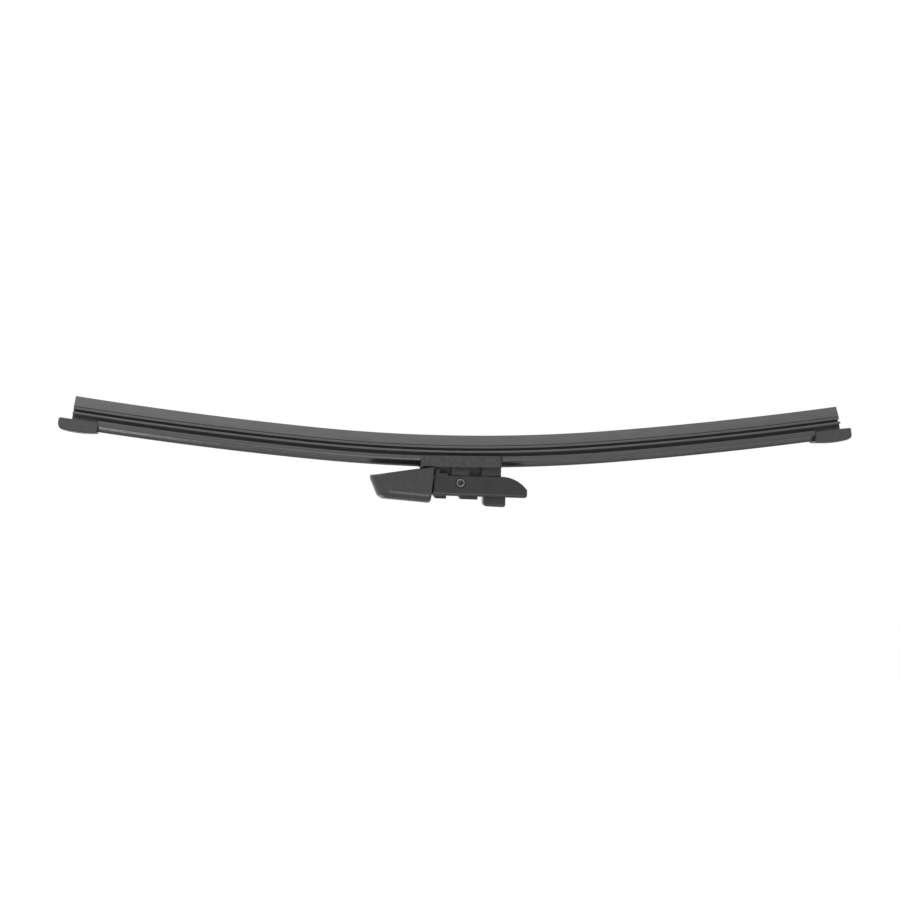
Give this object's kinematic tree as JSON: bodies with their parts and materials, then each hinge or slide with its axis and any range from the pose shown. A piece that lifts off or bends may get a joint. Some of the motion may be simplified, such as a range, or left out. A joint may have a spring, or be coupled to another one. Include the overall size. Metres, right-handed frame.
{
  "type": "wiper blade",
  "caption": "Curved flat wiper blade with a rubber lip, low spoiler, closed end caps and a pivoting arm adapter with a nose cover and a press button.",
  "frame": {"origin": "centre of the pivot axis, in the blade's middle plane", "axes": "+X along the blade, from the nose cover towards the adapter's tip; +Y along the pivot axis, away from the side the picture shows; +Z from the adapter towards the wiping lip"},
  "size_m": [0.3292, 0.0132, 0.0437],
  "materials": {
    "rubber": "fine matt rubber, graphite grey lip",
    "rail_steel": "dark coated spring steel",
    "spoiler_plastic": "extruded satin black",
    "cap_plastic": "moulded matt black with a fine grain",
    "base_plastic": "moulded matt black",
    "adapter_plastic": "moulded satin black",
    "nose_plastic": "grained matt black",
    "rivet_steel": "black coated steel"
  },
  "bodies": {
    "adapter": {"adapter_body": "adapter_plastic", "nose_cover": "nose_plastic", "pivot_rivet": "rivet_steel"},
    "blade": {"connector_base": "base_plastic", "spring_rail_front": "rail_steel", "spring_rail_rear": "rail_steel", "wiper_rubber": "rubber", "spoiler_left": "spoiler_plastic", "spoiler_right": "spoiler_plastic", "end_cap_left": "cap_plastic", "end_cap_right": "cap_plastic"},
    "button": {"lock_button": "adapter_plastic"}
  },
  "joints": [
    {"name": "blade_hinge", "type": "hinge", "parent": "adapter", "child": "blade", "pos_m": [0, 0, 0], "axis": [0, 1, 0], "range_deg": [0, 12]},
    {"name": "button_press", "type": "hinge", "parent": "adapter", "child": "button", "pos_m": [0.0016, 0, -0.00493], "axis": [0, -1, 0], "range_deg": [0, 8], "stiffness_Nm_per_rad": 0.3}
  ]
}
